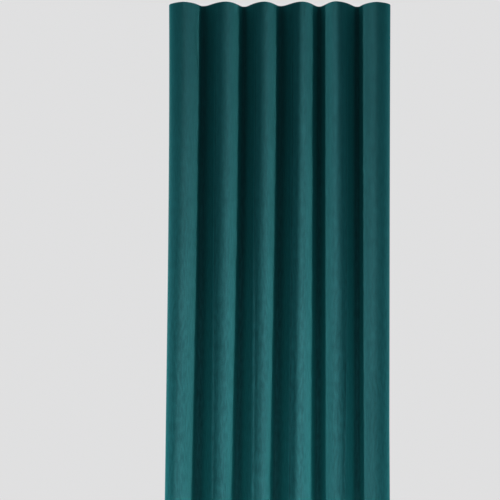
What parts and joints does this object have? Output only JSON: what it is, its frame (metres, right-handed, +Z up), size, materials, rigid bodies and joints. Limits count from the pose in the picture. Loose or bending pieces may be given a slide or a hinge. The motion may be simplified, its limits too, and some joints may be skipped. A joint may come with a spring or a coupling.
{
  "type": "velvet curtain panel",
  "caption": "Plain velvet curtain panel on a wave heading, hanging straight in soft even folds with turned hems.",
  "frame": {"origin": "middle of the top edge, half way through the depth of the waves", "axes": "+Z up, +X to the right of someone who faces the pile side, +Y towards the window or wall behind the panel"},
  "size_m": [0.7227, 0.1382, 2.5],
  "materials": {
    "velvet": "deep teal cut velvet with a soft sheen at the turns of the folds"
  },
  "bodies": {
    "root": {"curtain_panel": "velvet"}
  },
  "joints": []
}
